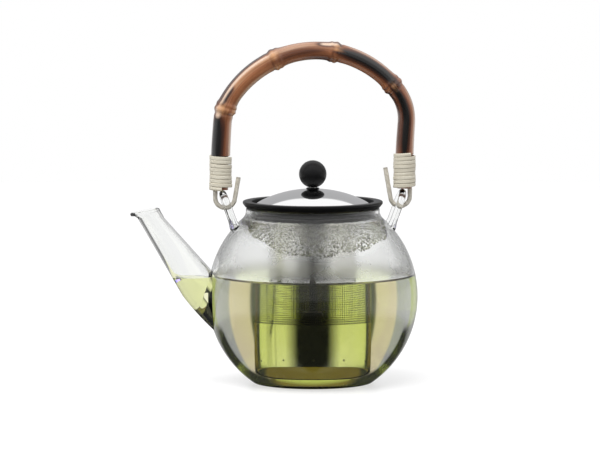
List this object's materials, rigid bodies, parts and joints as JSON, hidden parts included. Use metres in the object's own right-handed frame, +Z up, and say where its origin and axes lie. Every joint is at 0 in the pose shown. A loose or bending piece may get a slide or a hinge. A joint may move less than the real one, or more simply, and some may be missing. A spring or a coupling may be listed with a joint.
{
  "type": "glass tea press",
  "caption": "Ball-shaped glass tea press with a straight spout, steel infuser basket with a sliding plunger, domed steel lid with a ball knob, and a swinging bent-bamboo bail handle.",
  "frame": {"origin": "centre of the flat glass base, on the surface that the pot stands on", "axes": "+Z up along the pot's axis, -X towards the spout, +X and -X through the two glass lugs that carry the handle"},
  "size_m": [0.1849, 0.135, 0.2197],
  "materials": {
    "clear_glass": "clear fire-polished borosilicate glass",
    "black_plastic": "satin black moulded plastic",
    "silicone": "soft black silicone",
    "basket_steel": "polished stainless sheet and rod",
    "mirror_steel": "mirror-polished stainless steel",
    "bamboo": "flame-bent bamboo with scorched streaks, thin varnish",
    "rattan": "split and round rattan cane, bare"
  },
  "bodies": {
    "pot": {"glass_body": "clear_glass", "spout": "clear_glass", "left_lug": "clear_glass", "right_lug": "clear_glass"},
    "infuser": {"filter_collar": "black_plastic", "neck_seal": "silicone", "filter_basket": "basket_steel", "filter_cap": "basket_steel"},
    "lid": {"lid_dome": "mirror_steel", "lid_insert": "black_plastic", "rod_bush": "black_plastic", "bush_nut": "basket_steel"},
    "plunger": {"knob": "black_plastic", "plunger_rod": "basket_steel", "plunger_plate": "black_plastic", "plunger_gasket": "silicone", "plunger_nut": "basket_steel"},
    "handle": {"bamboo_handle": "bamboo", "left_hook": "rattan", "right_hook": "rattan", "left_binding": "rattan", "right_binding": "rattan"}
  },
  "joints": [
    {"name": "handle_swing", "type": "hinge", "parent": "pot", "child": "handle", "pos_m": [0, 0, 0.11333], "axis": [1, 0, 0], "range_deg": [-90, 90]},
    {"name": "infuser_lift", "type": "slide", "parent": "pot", "child": "infuser", "axis": [0, 0, 1], "range_m": [0, 0.06]},
    {"name": "lid_lift", "type": "slide", "parent": "infuser", "child": "lid", "axis": [0, 0, 1], "range_m": [0, 0.06]},
    {"name": "plunger_slide", "type": "slide", "parent": "lid", "child": "plunger", "axis": [0, 0, 1], "range_m": [0, 0.055]}
  ]
}
